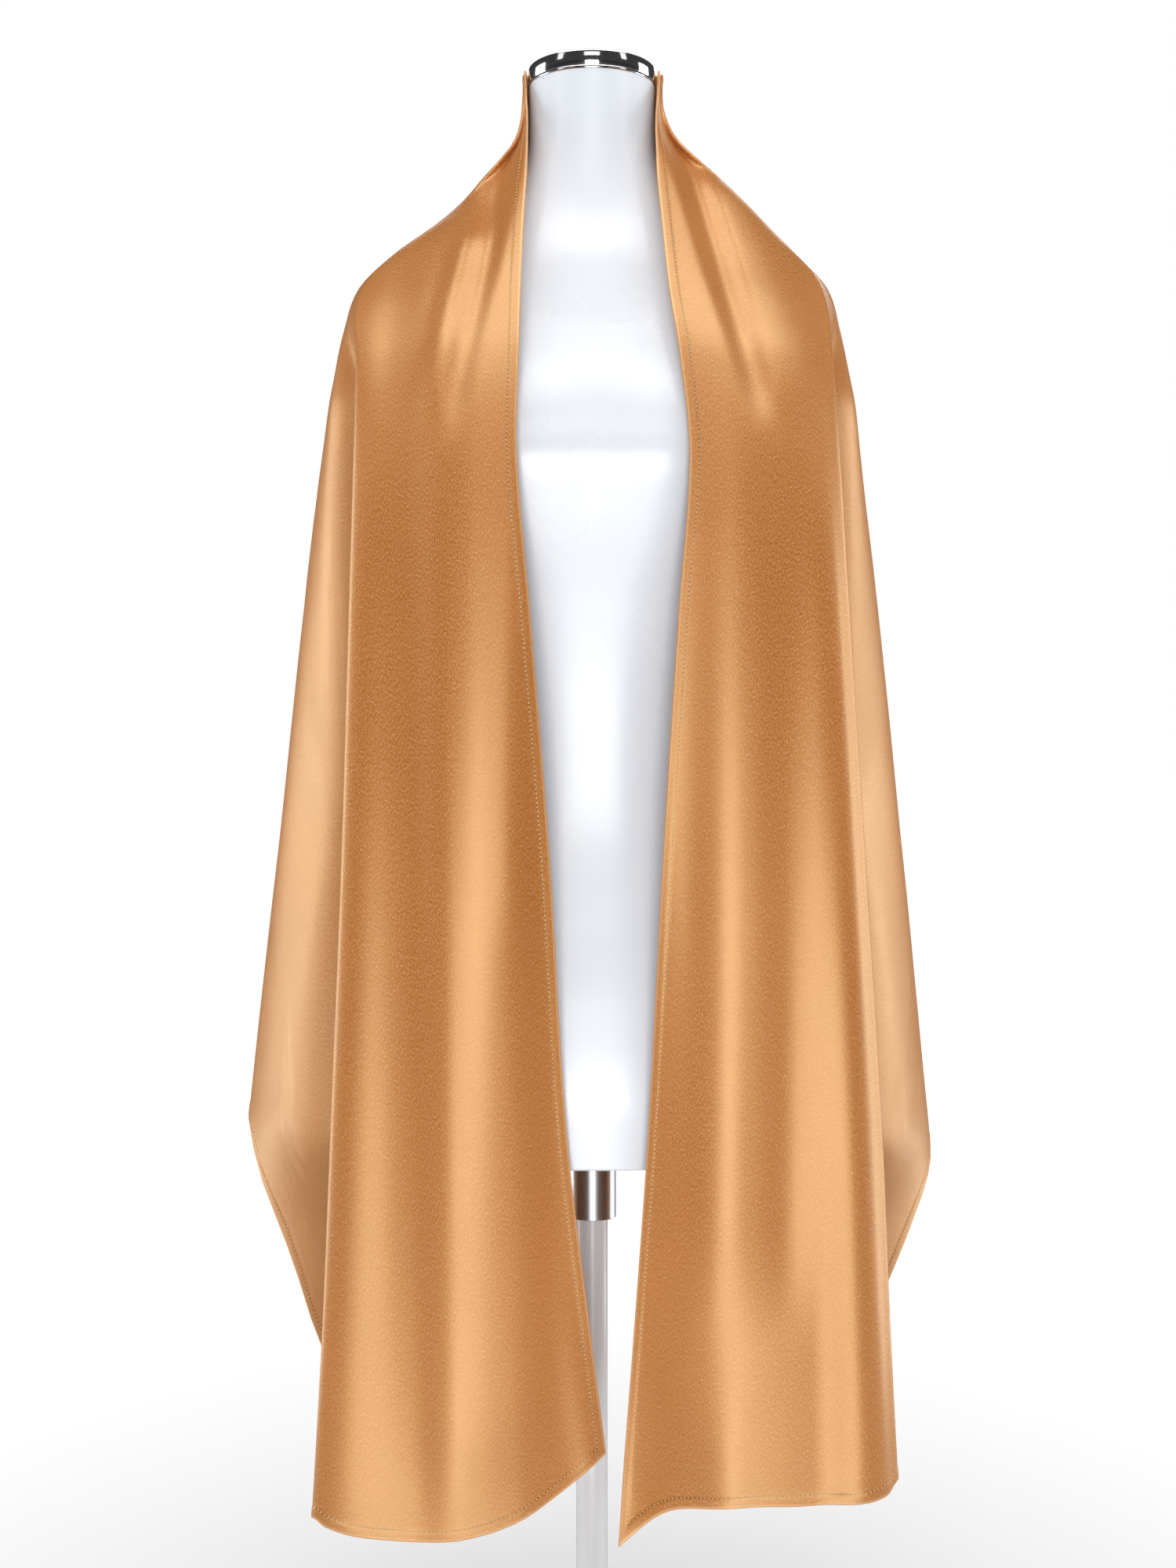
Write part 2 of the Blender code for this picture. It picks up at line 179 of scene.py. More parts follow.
def makeSatinWeave():
    # fine threads across and along the cloth, with the soft flecks that a satin face shows
    shape = weaveShape
    group, given, made = newGroup(
        "satinWeave",
        [("Cloth Place", "NodeSocketVector", None), ("Threads per Metre", "NodeSocketFloat", 1400.0),
         ("Fleck Size", "NodeSocketFloat", 420.0), ("Fleck Stretch", "NodeSocketFloat", 2.5)],
        [("Height", "NodeSocketFloat"), ("Fleck", "NodeSocketFloat"), ("Cloud", "NodeSocketFloat")],
    )
    nodes, links = group.nodes, group.links
    apart = nodes.new("ShaderNodeSeparateXYZ")
    links.new(given.outputs["Cloth Place"], apart.inputs[0])
    across = mathNode(nodes, links, "MULTIPLY", apart.outputs[0], given.outputs["Threads per Metre"])
    along = mathNode(nodes, links, "MULTIPLY", apart.outputs[1], given.outputs["Threads per Metre"])
    fullTurn = round(2 * math.pi, 4)
    step = mathNode(nodes, links, "MULTIPLY", along, shape["twillStep"])
    twill = mathNode(nodes, links, "SINE", mathNode(nodes, links, "MULTIPLY_ADD", across, fullTurn, step))
    picks = mathNode(nodes, links, "SINE", mathNode(nodes, links, "MULTIPLY", along, fullTurn))
    crossed = mathNode(nodes, links, "MULTIPLY_ADD", picks, shape["pickShare"], twill)
    threads = mathNode(nodes, links, "MULTIPLY", crossed, shape["threadShare"])

    stretched = nodes.new("ShaderNodeCombineXYZ")
    narrowed = mathNode(nodes, links, "MULTIPLY", apart.outputs[0], given.outputs["Fleck Stretch"])
    links.new(narrowed, stretched.inputs[0])
    links.new(apart.outputs[1], stretched.inputs[1])
    fleck = nodes.new("ShaderNodeTexNoise")
    fleck.inputs["Detail"].default_value = shape["fleckDetail"]
    fleck.inputs["Roughness"].default_value = shape["fleckRoughness"]
    links.new(stretched.outputs[0], fleck.inputs["Vector"])
    links.new(given.outputs["Fleck Size"], fleck.inputs["Scale"])
    cloud = nodes.new("ShaderNodeTexNoise")
    cloud.inputs["Scale"].default_value = shape["cloudSize"]
    cloud.inputs["Detail"].default_value = shape["cloudDetail"]
    links.new(given.outputs["Cloth Place"], cloud.inputs["Vector"])
    height = mathNode(nodes, links, "MULTIPLY_ADD", fleck.outputs[0], shape["fleckShare"], threads)
    links.new(height, made.inputs["Height"])
    links.new(fleck.outputs[0], made.inputs["Fleck"])
    links.new(cloud.outputs[0], made.inputs["Cloud"])
    return group


def makeFineGrain():
    # the slight unevenness of a moulded, lacquered or polished face
    group, given, made = newGroup(
        "fineGrain",
        [("Place", "NodeSocketVector", None), ("Grain Size", "NodeSocketFloat", 300.0),
         ("Smudge Size", "NodeSocketFloat", 14.0)],
        [("Grain", "NodeSocketFloat"), ("Smudge", "NodeSocketFloat")],
    )
    nodes, links = group.nodes, group.links
    for title, size, detail in (("Grain", "Grain Size", 2.0), ("Smudge", "Smudge Size", 4.0)):
        noise = nodes.new("ShaderNodeTexNoise")
        noise.inputs["Detail"].default_value = detail
        links.new(given.outputs["Place"], noise.inputs["Vector"])
        links.new(given.outputs[size], noise.inputs["Scale"])
        links.new(noise.outputs[0], made.inputs[title])
    return group


def rangeNode(nodes, links, source, low, high, outLow, outHigh):
    node = nodes.new("ShaderNodeMapRange")
    for socket, value in zip(("From Min", "From Max", "To Min", "To Max"), (low, high, outLow, outHigh)):
        node.inputs[socket].default_value = value
    links.new(source, node.inputs["Value"])
    return node.outputs[0]


def colourMix(nodes, links, mask, first, second):
    node = nodes.new("ShaderNodeMix")
    node.data_type = "RGBA"
    links.new(mask, node.inputs["Factor"])
    for title, value in (("A", first), ("B", second)):
        socket = next(s for s in node.inputs if s.name == title and s.type == "RGBA")
        if isinstance(value, tuple):
            socket.default_value = (*value, 1.0)
        else:
            links.new(value, socket)
    return next(s for s in node.outputs if s.type == "RGBA")


satinWeave = makeSatinWeave()
fineGrain = makeFineGrain()
print("shared effects made")


# Finishes

satinFinish = {
    "colour": (0.46, 0.137, 0.011),
    "deepColour": (0.43, 0.126, 0.009),
    # painted highlight colour, used for the pale line along the folded edge and for the painted sparkle of
    # the flecks
    "edgeHighlightColour": (0.80, 0.45, 0.23),
    "roughness": (0.31, 0.45),  # where the flecks are shiniest and dullest
    "specularTint": (1.0, 0.745, 0.41, 1.0),
    "ior": 2.5,
    "sheen": 0.05,
    "sheenTint": (1.0, 0.72, 0.48, 1.0),
    "sheenRoughness": 0.45,
    "anisotropic": 0.25,
    "cloudRange": (0.35, 0.65),
    "fleckRange": (0.45, 0.68),
    "sparkleStrength": 0.55,  # painted sparkle: how near the brightest flecks are painted to the painted highlight colour of the folded edge
    "roughRange": (0.3, 0.7),
    "threadsPerMetre": 3600.0,
    "fleckSize": 560.0,
    "weaveBump": 0.18,
    "weaveDepth": 0.0001,
    # painted shade: a dark line in the pressed groove along the stitches
    "grooveShadeColour": (0.13, 0.034, 0.004),
    "grooveShadeStrength": 0.75,
    "grooveAt": 6.3,  # mm from the folded edge, as stitchLine below
    "grooveShadeWidth": (0.2, 0.75),  # mm either side, where the painted shade of the pressed groove starts to fade and ends
    "edgeHighlightStrength": 0.6,
    "edgeHighlightWidth": (0.5, 1.5),  # mm from the folded edge, where its painted highlight line starts to fade and ends
}


def makeSatin():
    material, nodes, links, shader = newMaterial("satinCopper", {
        "Specular Tint": satinFinish["specularTint"],
        "IOR": satinFinish["ior"],
        "Sheen Weight": satinFinish["sheen"],
        "Sheen Tint": satinFinish["sheenTint"],
        "Sheen Roughness": satinFinish["sheenRoughness"],
        "Anisotropic": satinFinish["anisotropic"],
    })
    place = nodes.new("ShaderNodeUVMap")
    place.uv_map = "clothPlace"
    weave = placeGroup(nodes, satinWeave, {
        "Threads per Metre": satinFinish["threadsPerMetre"], "Fleck Size": satinFinish["fleckSize"],
    })
    links.new(place.outputs[0], weave.inputs["Cloth Place"])
    clouds = rangeNode(nodes, links, weave.outputs["Cloud"], *satinFinish["cloudRange"], 0.0, 1.0)
    cloudy = colourMix(nodes, links, clouds, satinFinish["deepColour"], satinFinish["colour"])
    # painted sparkle: random flecks painted paler, toward the painted highlight colour
    sparkleMask = rangeNode(
        nodes, links, weave.outputs["Fleck"], *satinFinish["fleckRange"], 0.0, satinFinish["sparkleStrength"])
    sparkled = colourMix(nodes, links, sparkleMask, cloudy, satinFinish["edgeHighlightColour"])
    # painted highlight: a pale line along the folded edge, where light would catch it
    edge = nodes.new("ShaderNodeAttribute")
    edge.attribute_name = "hemDistance"
    fromEdge = edge.outputs["Fac"]
    paleEdgeHighlight = rangeNode(nodes, links, fromEdge, *satinFinish["edgeHighlightWidth"], satinFinish["edgeHighlightStrength"], 0.0)
    pastLine = mathNode(nodes, links, "SUBTRACT", fromEdge, satinFinish["grooveAt"])
    fromLine = mathNode(nodes, links, "ABSOLUTE", pastLine)
    # painted shade: darkens the pressed groove along the stitch line
    grooveShadeWidth, grooveShadeStrength = satinFinish["grooveShadeWidth"], satinFinish["grooveShadeStrength"]
    grooveShadeMask = rangeNode(nodes, links, fromLine, *grooveShadeWidth, grooveShadeStrength, 0.0)
    grooveShaded = colourMix(nodes, links, grooveShadeMask, sparkled, satinFinish["grooveShadeColour"])
    edgeHighlighted = colourMix(nodes, links, paleEdgeHighlight, grooveShaded, satinFinish["edgeHighlightColour"])
    links.new(edgeHighlighted, shader.inputs["Base Color"])
    roughRange, roughness = satinFinish["roughRange"], satinFinish["roughness"]
    rough = rangeNode(nodes, links, weave.outputs["Fleck"], *roughRange, *roughness)
    links.new(rough, shader.inputs["Roughness"])
    bump = nodes.new("ShaderNodeBump")
    bump.inputs["Strength"].default_value = satinFinish["weaveBump"]
    bump.inputs["Distance"].default_value = satinFinish["weaveDepth"]
    links.new(weave.outputs["Height"], bump.inputs["Height"])
    links.new(bump.outputs[0], shader.inputs["Normal"])
    return material


threadFinish = {
    "colour": (0.92, 0.57, 0.27),
    "deepColour": (0.80, 0.43, 0.17),
    "roughness": 0.42,
    "sheen": 0.3,
    "sheenTint": (1.0, 0.8, 0.6, 1.0),
    "plies": 2600.0,
    "fleckSize": 900.0,
    "fleckRange": (0.4, 0.65),
    "bump": 0.5,
    "bumpDepth": 0.00005,
}


def makeThread():
    material, nodes, links, shader = newMaterial("topstitchThread", {
        "Roughness": threadFinish["roughness"],
        "Sheen Weight": threadFinish["sheen"],
        "Sheen Tint": threadFinish["sheenTint"],
    })
    place = nodes.new("ShaderNodeTexCoord")
    weave = placeGroup(nodes, satinWeave, {
        "Threads per Metre": threadFinish["plies"], "Fleck Size": threadFinish["fleckSize"],
    })
    links.new(place.outputs["Object"], weave.inputs["Cloth Place"])
    mask = rangeNode(nodes, links, weave.outputs["Fleck"], *threadFinish["fleckRange"], 0.0, 1.0)
    mottled = colourMix(nodes, links, mask, threadFinish["deepColour"], threadFinish["colour"])
    links.new(mottled, shader.inputs["Base Color"])
    bump = nodes.new("ShaderNodeBump")
    bump.inputs["Strength"].default_value = threadFinish["bump"]
    bump.inputs["Distance"].default_value = threadFinish["bumpDepth"]
    links.new(weave.outputs["Height"], bump.inputs["Height"])
    links.new(bump.outputs[0], shader.inputs["Normal"])
    return material


hardFinishes = {
    # name: two colours, roughness where clean and smudged, grain size, bump strength, constant sockets
    "glossWhite": ((0.785, 0.815, 0.87), (0.765, 0.80, 0.86), (0.26, 0.32), 240.0, 0.03,
                   {"Coat Weight": 0.4, "Coat Roughness": 0.18}),
    "polishedMetal": ((0.80, 0.81, 0.83), (0.72, 0.73, 0.76), (0.04, 0.10), 600.0, 0.02, {"Metallic": 1.0}),
    "satinMetal": ((0.72, 0.73, 0.75), (0.64, 0.65, 0.68), (0.24, 0.34), 900.0, 0.05, {"Metallic": 1.0}),
    "whiteLacquer": ((0.84, 0.85, 0.87), (0.80, 0.81, 0.83), (0.28, 0.36), 500.0, 0.04, {"Coat Weight": 0.2}),
}
hardGrain = {"smudgeRange": (0.38, 0.66), "roughRange": (0.3, 0.7), "depth": 0.0002}


def makeHardFinish(name):
    clean, dulled, roughness, grainSize, strength, constants = hardFinishes[name]
    material, nodes, links, shader = newMaterial(name, constants)
    place = nodes.new("ShaderNodeTexCoord")
    grain = placeGroup(nodes, fineGrain, {"Grain Size": grainSize})
    links.new(place.outputs["Object"], grain.inputs["Place"])
    smudge = rangeNode(nodes, links, grain.outputs["Smudge"], *hardGrain["smudgeRange"], 0.0, 1.0)
    links.new(colourMix(nodes, links, smudge, clean, dulled), shader.inputs["Base Color"])
    worn = rangeNode(nodes, links, grain.outputs["Smudge"], *hardGrain["roughRange"], *roughness)
    links.new(worn, shader.inputs["Roughness"])
    bump = nodes.new("ShaderNodeBump")
    bump.inputs["Strength"].default_value = strength
    bump.inputs["Distance"].default_value = hardGrain["depth"]
    links.new(grain.outputs["Grain"], bump.inputs["Height"])
    links.new(bump.outputs[0], shader.inputs["Normal"])
    return material


satin = makeSatin()
thread = makeThread()
glossWhite, polishedMetal, satinMetal, whiteLacquer = (makeHardFinish(name) for name in hardFinishes)
print("finishes made")


# The stole. Sizes below are in millimetres.

stoleCloth = {
    "topAtFront": 1149.0,
    "topAtBack": 1156.0,
    "foldTurn": 9.0,  # radius of the rounded front fold
    "turnAtTop": 0.25,  # the share of it left where the cloth isn't tucked yet
    "turnOut": 0.9,
    "turnDepth": 0.8,
    "tuckStart": 990.0,
    "tuckFull": 905.0,
    "panelBulge": 9.0,
    "panelBulgeTop": 1130.0,
    "panelBulgeGrowth": 200.0,
    "looseShares": (0.12, 0.38, 0.55, 0.70, 0.86),
    "middleDepth": 2.1,
    "secondTuckDepth": 3.2,
    "lobeShare": 0.55,
    "lobeBulge": 12.0,
    "cornerOut": 0.87,
    "cornerBack": 0.56,
    "quarterOut": 0.47,
    "creaseFade": 0.2,
    "frontCreases": (3.6, 1.2),  # stations from the edge where they end, and over which they fade
    "backCreases": (10.2, 0.8),
    "shoulderCreases": (2.4, 8.6, 0.8),  # stations where they start and end, and over which they fade
    "halfWall": 0.45,
    "hemHalfWall": 0.78,
    "hemPuff": 0.05,
    "hemFade": (0.5, 2.0),  # how far before the stitches the doubled hem starts to thin, and over what width
    "stitchPinch": 0.15,
    "pinchWidth": 0.8,
    "stitchLine": 6.3,
    "edgeSteps": (0.0, 0.8, 2.0, 3.4, 4.8, 5.7, 6.3, 6.9, 7.8, 9.4, 11.6, 14.0),
    "middleRows": 128,
    "columnsInSpan": (11, 11, 11, 6, 6, 8, 8, 8, 8, 10, 9, 9, 9),
    "rimSteps": 3,
    "lineSteps": 24,  # points to a station on the lines that lengths are measured along
    "steepestHem": 3.5,  # most that the hem rows spread where the hem runs steeply
    "hemSmoothing": 13,
    "middleDistance": 34.0,  # the distance given to rows far from both ends
    "terminator": 0.3,  # keeps the rows from showing where light grazes them
    "cutWidth": 0.70,  # m
    "cutLength": 2.17,
}

# inner edge, rounded front fold and outermost line of the side
leftLevels = (
    # z, edge x, edge y, fold x, fold y, side x, side y
    (1160, -46.8, 2, -47.8, 13, -41.0, 28),
    (1149, -46.8, -2, -48.2, 10, -41.5, 26),
    (1125, -45.6, -22, -48.4, -5, -45.5, 18),
    (1110, -44.6, -32, -49.5, -12, -51.8, 14),
    (1095, -44.3, -42, -53.5, -18, -61.0, 12),
    (1080, -44.2, -51, -64.0, -23, -75.0, 12),
    (1060, -44.4, -62, -79.5, -28, -92.3, 12),
    (1045, -45.0, -70, -90.5, -30, -110.5, 13),
    (1025, -45.8, -80, -117.0, -32, -139.7, 15),
    (1000, -46.5, -92, -149.0, -34, -165.2, 16),
    (970, -47.2, -104, -159.6, -55, -175.4, 22),
    (930, -47.8, -117, -156.3, -80, -180.5, 30),
    (860, -48.6, -132, -155.8, -100, -195.1, 42),
    (760, -40.2, -138, -157.6, -110, -210.2, 55),
    (600, -27.6, -140, -161.7, -116, -229.9, 72),
    (430, -17.5, -136, -168.4, -117, -250.0, 85),
    (300, -2.6, -130, -173.4, -119, -264.0, 92),
    (160, 15.0, -112, -181.0, -121, -276.0, 98),
)
rightLevels = (
    # z, edge x, edge y, fold x, fold y, side x, side y
    (1160, 46.8, 2, 49.0, 13, 43.0, 28),
    (1149, 46.8, -2, 49.6, 10, 43.5, 26),
    (1125, 45.4, -22, 49.2, -5, 46.4, 18),
    (1110, 44.2, -32, 52.5, -12, 57.0, 14),
    (1095, 43.7, -42, 59.5, -18, 71.2, 12),
    (1080, 43.9, -51, 74.0, -23, 88.0, 12),
    (1060, 44.1, -62, 94.0, -28, 108.8, 12),
    (1045, 45.0, -70, 108.5, -30, 123.5, 13),
    (1025, 46.5, -80, 126.5, -32, 143.9, 15),
    (1000, 48.3, -92, 151.0, -34, 166.8, 16),
    (970, 51.0, -104, 158.6, -55, 175.8, 22),
    (930, 56.6, -117, 159.2, -80, 179.8, 30),
    (860, 62.8, -132, 162.0, -100, 192.3, 42),
    (760, 55.6, -138, 166.7, -110, 208.4, 55),
    (600, 45.4, -140, 176.1, -116, 227.2, 72),
    (430, 36.7, -138, 186.5, -117, 244.1, 85),
    (300, 27.9, -136, 191.6, -119, 259.0, 92),
    (160, 17.6, -128, 198.5, -121, 271.0, 98),
)
backLevels = (
    # z, y at the centre of the back
    (1160, 48.5), (1125, 54), (1095, 63), (1060, 77), (1025, 89), (1000, 97), (960, 106),
    (900, 114), (800, 119), (600, 127), (430, 134), (160, 142),
)
# how far in each hidden fold behind the front reaches, as a share of the fold's own distance out
tuckLevels = (
    # z, first tuck, middle layer, second tuck, depth from fold to fold
    (1000, 0.95, 0.97, 0.99, 12.0),
    (930, 0.88, 0.97, 0.98, 15.0),
    (860, 0.79, 0.96, 0.93, 19.0),
    (810, 0.69, 0.96, 0.89, 20.0),
    (760, 0.55, 0.96, 0.81, 21.0),
    (630, 0.38, 0.96, 0.71, 22.0),
    (560, 0.44, 0.96, 0.81, 22.0),
    (500, 0.52, 0.96, 0.87, 22.0),
    (430, 0.60, 0.96, 0.90, 22.0),
    (395, 0.58, 0.96, 0.88, 22.0),
    (330, 0.38, 0.95, 0.56, 25.0),
    (160, 0.30, 0.95, 0.36, 27.0),
)
# hem heights across the cloth: 0 is the inner edge, 4 the front fold, 13 the centre back
hemLine = (
    # station, left z, right z
    (0.0, 210.5, 158), (0.5, 190.5, 181.5), (1.0, 175, 188.5), (1.5, 167.5, 191.5), (2.0, 165.5, 191.5),
    (2.5, 169, 193.5), (3.0, 176, 197), (3.5, 179.5, 202), (4.0, 179, 204), (6.0, 184, 209), (7.5, 193, 215),
    (8.5, 207, 226), (8.8, 217, 238), (9.0, 254, 262), (9.2, 307, 296), (9.4, 349, 329),
    (9.6, 393, 358), (9.8, 405, 380), (10.1, 414, 398), (11.0, 446, 444), (13.0, 458, 458),
)
# soft ridges (above 0) and troughs (below 0): the large ones first, then the small ones of the satin
creaseRows = (
    # face, x top, x bottom, z top, z bottom, half width, height at the top, at the bottom
    ("front", -90, -80, 900, 160, 32, 4.0, 9.0),
    ("front", -62, -50, 900, 160, 32, 4.0, 9.0),
    ("front", -124, -128, 880, 160, 34, -2.5, -4.5),
    ("front", -20, 34, 760, 160, 62, -1.0, -17.0),
    ("front", 167, 178, 760, 160, 34, 4.0, 11.0),
    ("front", 89, 82, 820, 330, 28, 2.0, 4.4),
    ("front", 126, 125, 820, 330, 22, -2.0, -3.2),
    ("front", 38, -28, 820, 160, 118, -5.0, -21.0),
    ("front", -58, -92, 1090, 880, 17, -12.0, -3.0),
    ("front", -80, -104, 1010, 885, 19, 7.0, 2.0),
    ("front", 62, 110, 1090, 890, 17, -12.0, -4.0),
    ("front", 104, 142, 1050, 890, 36, 6.0, 2.0),
    ("back", -172, -196, 900, 430, 32, 0.0, 12.0),
    ("back", -112, -134, 930, 430, 34, 0.0, -16.0),
    ("back", -58, -70, 900, 430, 34, 0.0, 15.0),
    ("back", -4, -12, 930, 430, 34, 0.0, -15.0),
    ("back", 52, 48, 900, 430, 34, 0.0, 16.0),
    ("back", 108, 112, 930, 430, 34, 0.0, -15.0),
    ("back", 166, 180, 900, 430, 34, 0.0, 13.0),
    ("shoulder", -92, -133, 1044, 1000, 8, -4.0, -1.5),
    ("front", -128, -136, 990, 890, 20, -2.0, -0.5),
    ("front", -52, -49, 900, 560, 18, 0.6, 1.4),
    ("front", -20, 4, 330, 170, 14, 0.0, 3.0),
    ("front", 84, 66, 420, 170, 22, 0.0, -1.4),
    ("back", -36, -42, 800, 430, 14, 0.0, -2.5),
    ("back", 78, 84, 760, 430, 13, 0.0, 2.2),
    ("back", 20, 26, 1060, 820, 20, -2.0, 0.0),
    ("back", -30, -44, 1070, 860, 18, 2.5, 0.5),
)


def halfSection(levels, out, z):
    # control points of one half of the cloth at heights z, from the inner edge to the quarter of the back
    cloth = stoleCloth
    edgeX, edgeY, foldX, foldY, sideX, sideY = readTable(levels, z)
    backY = readTable(backLevels, z)[0]
    tuckShare, middleShare, tuckTwoShare, step = readTable(tuckLevels, z)
    tucked = ease((cloth["tuckStart"] - z) / (cloth["tuckStart"] - cloth["tuckFull"]))
    turn = cloth["foldTurn"] * mixed(cloth["turnAtTop"], 1.0, tucked)
    turnOut, turnDepth = out * turn * cloth["turnOut"], turn * cloth["turnDepth"]
    edge, fold, side = (np.array(pair) for pair in ((edgeX, edgeY), (foldX, foldY), (sideX, sideY)))
    panelEnd = np.array((foldX - turnOut, foldY - turnDepth))
    bulge = cloth["panelBulge"] * ease((cloth["panelBulgeTop"] - z) / cloth["panelBulgeGrowth"])

    def panel(share):
        point = mixed(edge, panelEnd, share)
        point[1] -= bulge * math.sin(math.pi * share)
        return point

    loose = [mixed(fold, side, share) for share in cloth["looseShares"]]
    reach = np.abs(foldX)
    tuckTwo = np.array((out * reach * tuckTwoShare, foldY + cloth["secondTuckDepth"] * step))
    lobe = mixed(tuckTwo, side, cloth["lobeShare"])
    folded = [
        np.array((foldX - out * turn, foldY + turnDepth)),
        np.array((out * reach * tuckShare, foldY + step)),
        np.array((out * reach * middleShare, foldY + cloth["middleDepth"] * step)),
        tuckTwo,
        np.array((lobe[0] + out * cloth["lobeBulge"], lobe[1] - cloth["lobeBulge"])),
    ]
    between = [mixed(a, b, tucked) for a, b in zip(loose, folded)]
    corner = np.array((sideX * cloth["cornerOut"], sideY + cloth["cornerBack"] * (backY - sideY)))
    quarter = np.array((sideX * cloth["quarterOut"], backY))
    return [edge, panel(1 / 3), panel(2 / 3), panelEnd, fold, *between, side, corner, quarter]


def creaseHeight(face, x, z):
    total = np.zeros_like(x)
    for where, xTop, xBottom, zTop, zBottom, halfWidth, top, bottom in creaseRows:
        if where != face:
            continue
        down = (zTop - z) / (zTop - zBottom)
        fade = ease(down / stoleCloth["creaseFade"] + 1) * ease((1 - down) / stoleCloth["creaseFade"] + 0.5)
        away = np.clip((x - xTop - (xBottom - xTop) * down) / halfWidth, -1, 1)
        level = np.clip(down, 0, 1)
        total += (top + (bottom - top) * level) * fade * (0.5 + 0.5 * np.cos(math.pi * away))
    return total


def clothSurface(station, z):
    # the cloth's middle surface at arrays of stations and heights, as points in millimetres
    backY = readTable(backLevels, z)[0]
    half = [halfSection(leftLevels, -1, z), halfSection(rightLevels, 1, z)]
    points = np.array(half[0] + [np.array((np.zeros_like(z), backY))] + half[1][::-1])
    last = len(points) - 1
    i = np.minimum(station.astype(int), last - 1)
    t = station - i
    pick = np.arange(len(station))
    p = [points[np.clip(i + j, 0, last), :, pick] for j in (-1, 0, 1, 2)]
    p[0] = np.where((i == 0)[:, None], 2 * p[1] - p[2], p[0])
    p[3] = np.where((i == last - 1)[:, None], 2 * p[2] - p[1], p[3])
    knots = [np.zeros(len(station))]
    for a, b in zip(p, p[1:]):
        knots.append(knots[-1] + np.sqrt(np.maximum(np.linalg.norm(b - a, axis=1), 1e-6)))
    u = knots[1] + (knots[2] - knots[1]) * t

    def between(a, b, low, high):
        return a + (b - a) * ((u - low) / (high - low))[:, None]

    first = [between(p[j], p[j + 1], knots[j], knots[j + 1]) for j in range(3)]
    second = [between(first[j], first[j + 1], knots[j], knots[j + 2]) for j in range(2)]
    x, y = between(second[0], second[1], knots[1], knots[2]).T
    fromEdge = np.minimum(station, 26 - station)
    frontEnd, frontFade = stoleCloth["frontCreases"]
    backStart, backFade = stoleCloth["backCreases"]
    sideStart, sideEnd, sideFade = stoleCloth["shoulderCreases"]
    y = y - ease((frontEnd - fromEdge) / frontFade) * creaseHeight("front", x, z)
    y = y + ease((fromEdge - backStart) / backFade) * creaseHeight("back", x, z)
    onSide = ease((fromEdge - sideStart) / sideFade) * ease((sideEnd - fromEdge) / sideFade)
    y = y - onSide * creaseHeight("shoulder", x, z)
    return np.stack([x, y, z], axis=1)


def topAndHem(station):
    fromEdge = np.minimum(station, 26 - station)
    left, right = readTable(hemLine, fromEdge)
    top = mixed(stoleCloth["topAtFront"], stoleCloth["topAtBack"], ease(fromEdge / 13))
    return top, np.where(station <= 13, left, right)


def clothGrid():
    # rows of points down the cloth, denser near its four edges, with each point's distance from the nearest
    # edge and from the nearer inner edge
    cloth = stoleCloth
    steps = np.array(cloth["edgeSteps"])
    dense = np.linspace(0, 26, 26 * cloth["lineSteps"] + 1)
    top, hem = topAndHem(dense)
    hemPoints = clothSurface(dense, hem)
    run = np.gradient(hemPoints, axis=0)
    slant = np.linalg.norm(run, axis=1) / np.maximum(np.linalg.norm(run[:, :2], axis=1), 1e-6)
    span = cloth["hemSmoothing"]
    slant = np.pad(np.clip(slant, 1, cloth["steepestHem"]), span // 2, mode="edge")
    slant = np.convolve(slant, np.ones(span) / span, mode="valid")
    shares = np.arange(1, cloth["middleRows"]) / cloth["middleRows"]
    rows = [(0.0, d, 0.0) for d in steps] + [(share, steps[-1], steps[-1]) for share in shares]
    rows += [(1.0, 0.0, d) for d in steps[::-1]]
    base = []
    for span, count in enumerate(cloth["columnsInSpan"]):
        base += [span + k / count for k in range(count)]
    base = np.array(base + [13.0] + [26 - s for s in reversed(base)])[1:-1]

    grid, distance, acrossAt = [], [], []
    for share, topStep, hemStep in rows:
        def heightAt(station):
            t, h = np.interp(station, dense, top), np.interp(station, dense, hem)
            return (1 - share) * (t - topStep) + share * (h + hemStep * np.interp(station, dense, slant))
        line = clothSurface(dense, heightAt(dense))
        arc = np.concatenate([[0], np.cumsum(np.linalg.norm(np.diff(line, axis=0), axis=1))])
        fromLeft = np.interp(steps, arc, dense)
        fromRight = np.interp(arc[-1] - steps, arc, dense)
        inner = fromLeft[-1] + base / 26 * (fromRight[-1] - fromLeft[-1])
        stations = np.concatenate([fromLeft, inner, fromRight[::-1]])
        grid.append(clothSurface(stations, heightAt(stations)))
        at = np.interp(stations, dense, arc)
        nearSide = np.minimum(at, arc[-1] - at)
        acrossAt.append(nearSide)
        nearEnd = topStep if share == 0 else hemStep if share == 1 else cloth["middleDistance"]
        distance.append(np.minimum(nearSide, nearEnd))
    return np.array(grid), np.array(distance), np.array(acrossAt)


def wallProfile(distance):
    # half the wall at each distance from the edge: doubled in the hem, pinched along the stitches
    cloth = stoleCloth
    line = cloth["stitchLine"]
    before, width = cloth["hemFade"]
    inHem = 1 - ease((distance - line + before) / width)
    puffed = cloth["hemPuff"] * np.sin(np.clip(distance / line, 0, 1) * math.pi)
    pinched = cloth["stitchPinch"] * np.exp(-((distance - line) / cloth["pinchWidth"]) ** 2)
    return cloth["halfWall"] + (cloth["hemHalfWall"] - cloth["halfWall"] + puffed) * inHem - pinched


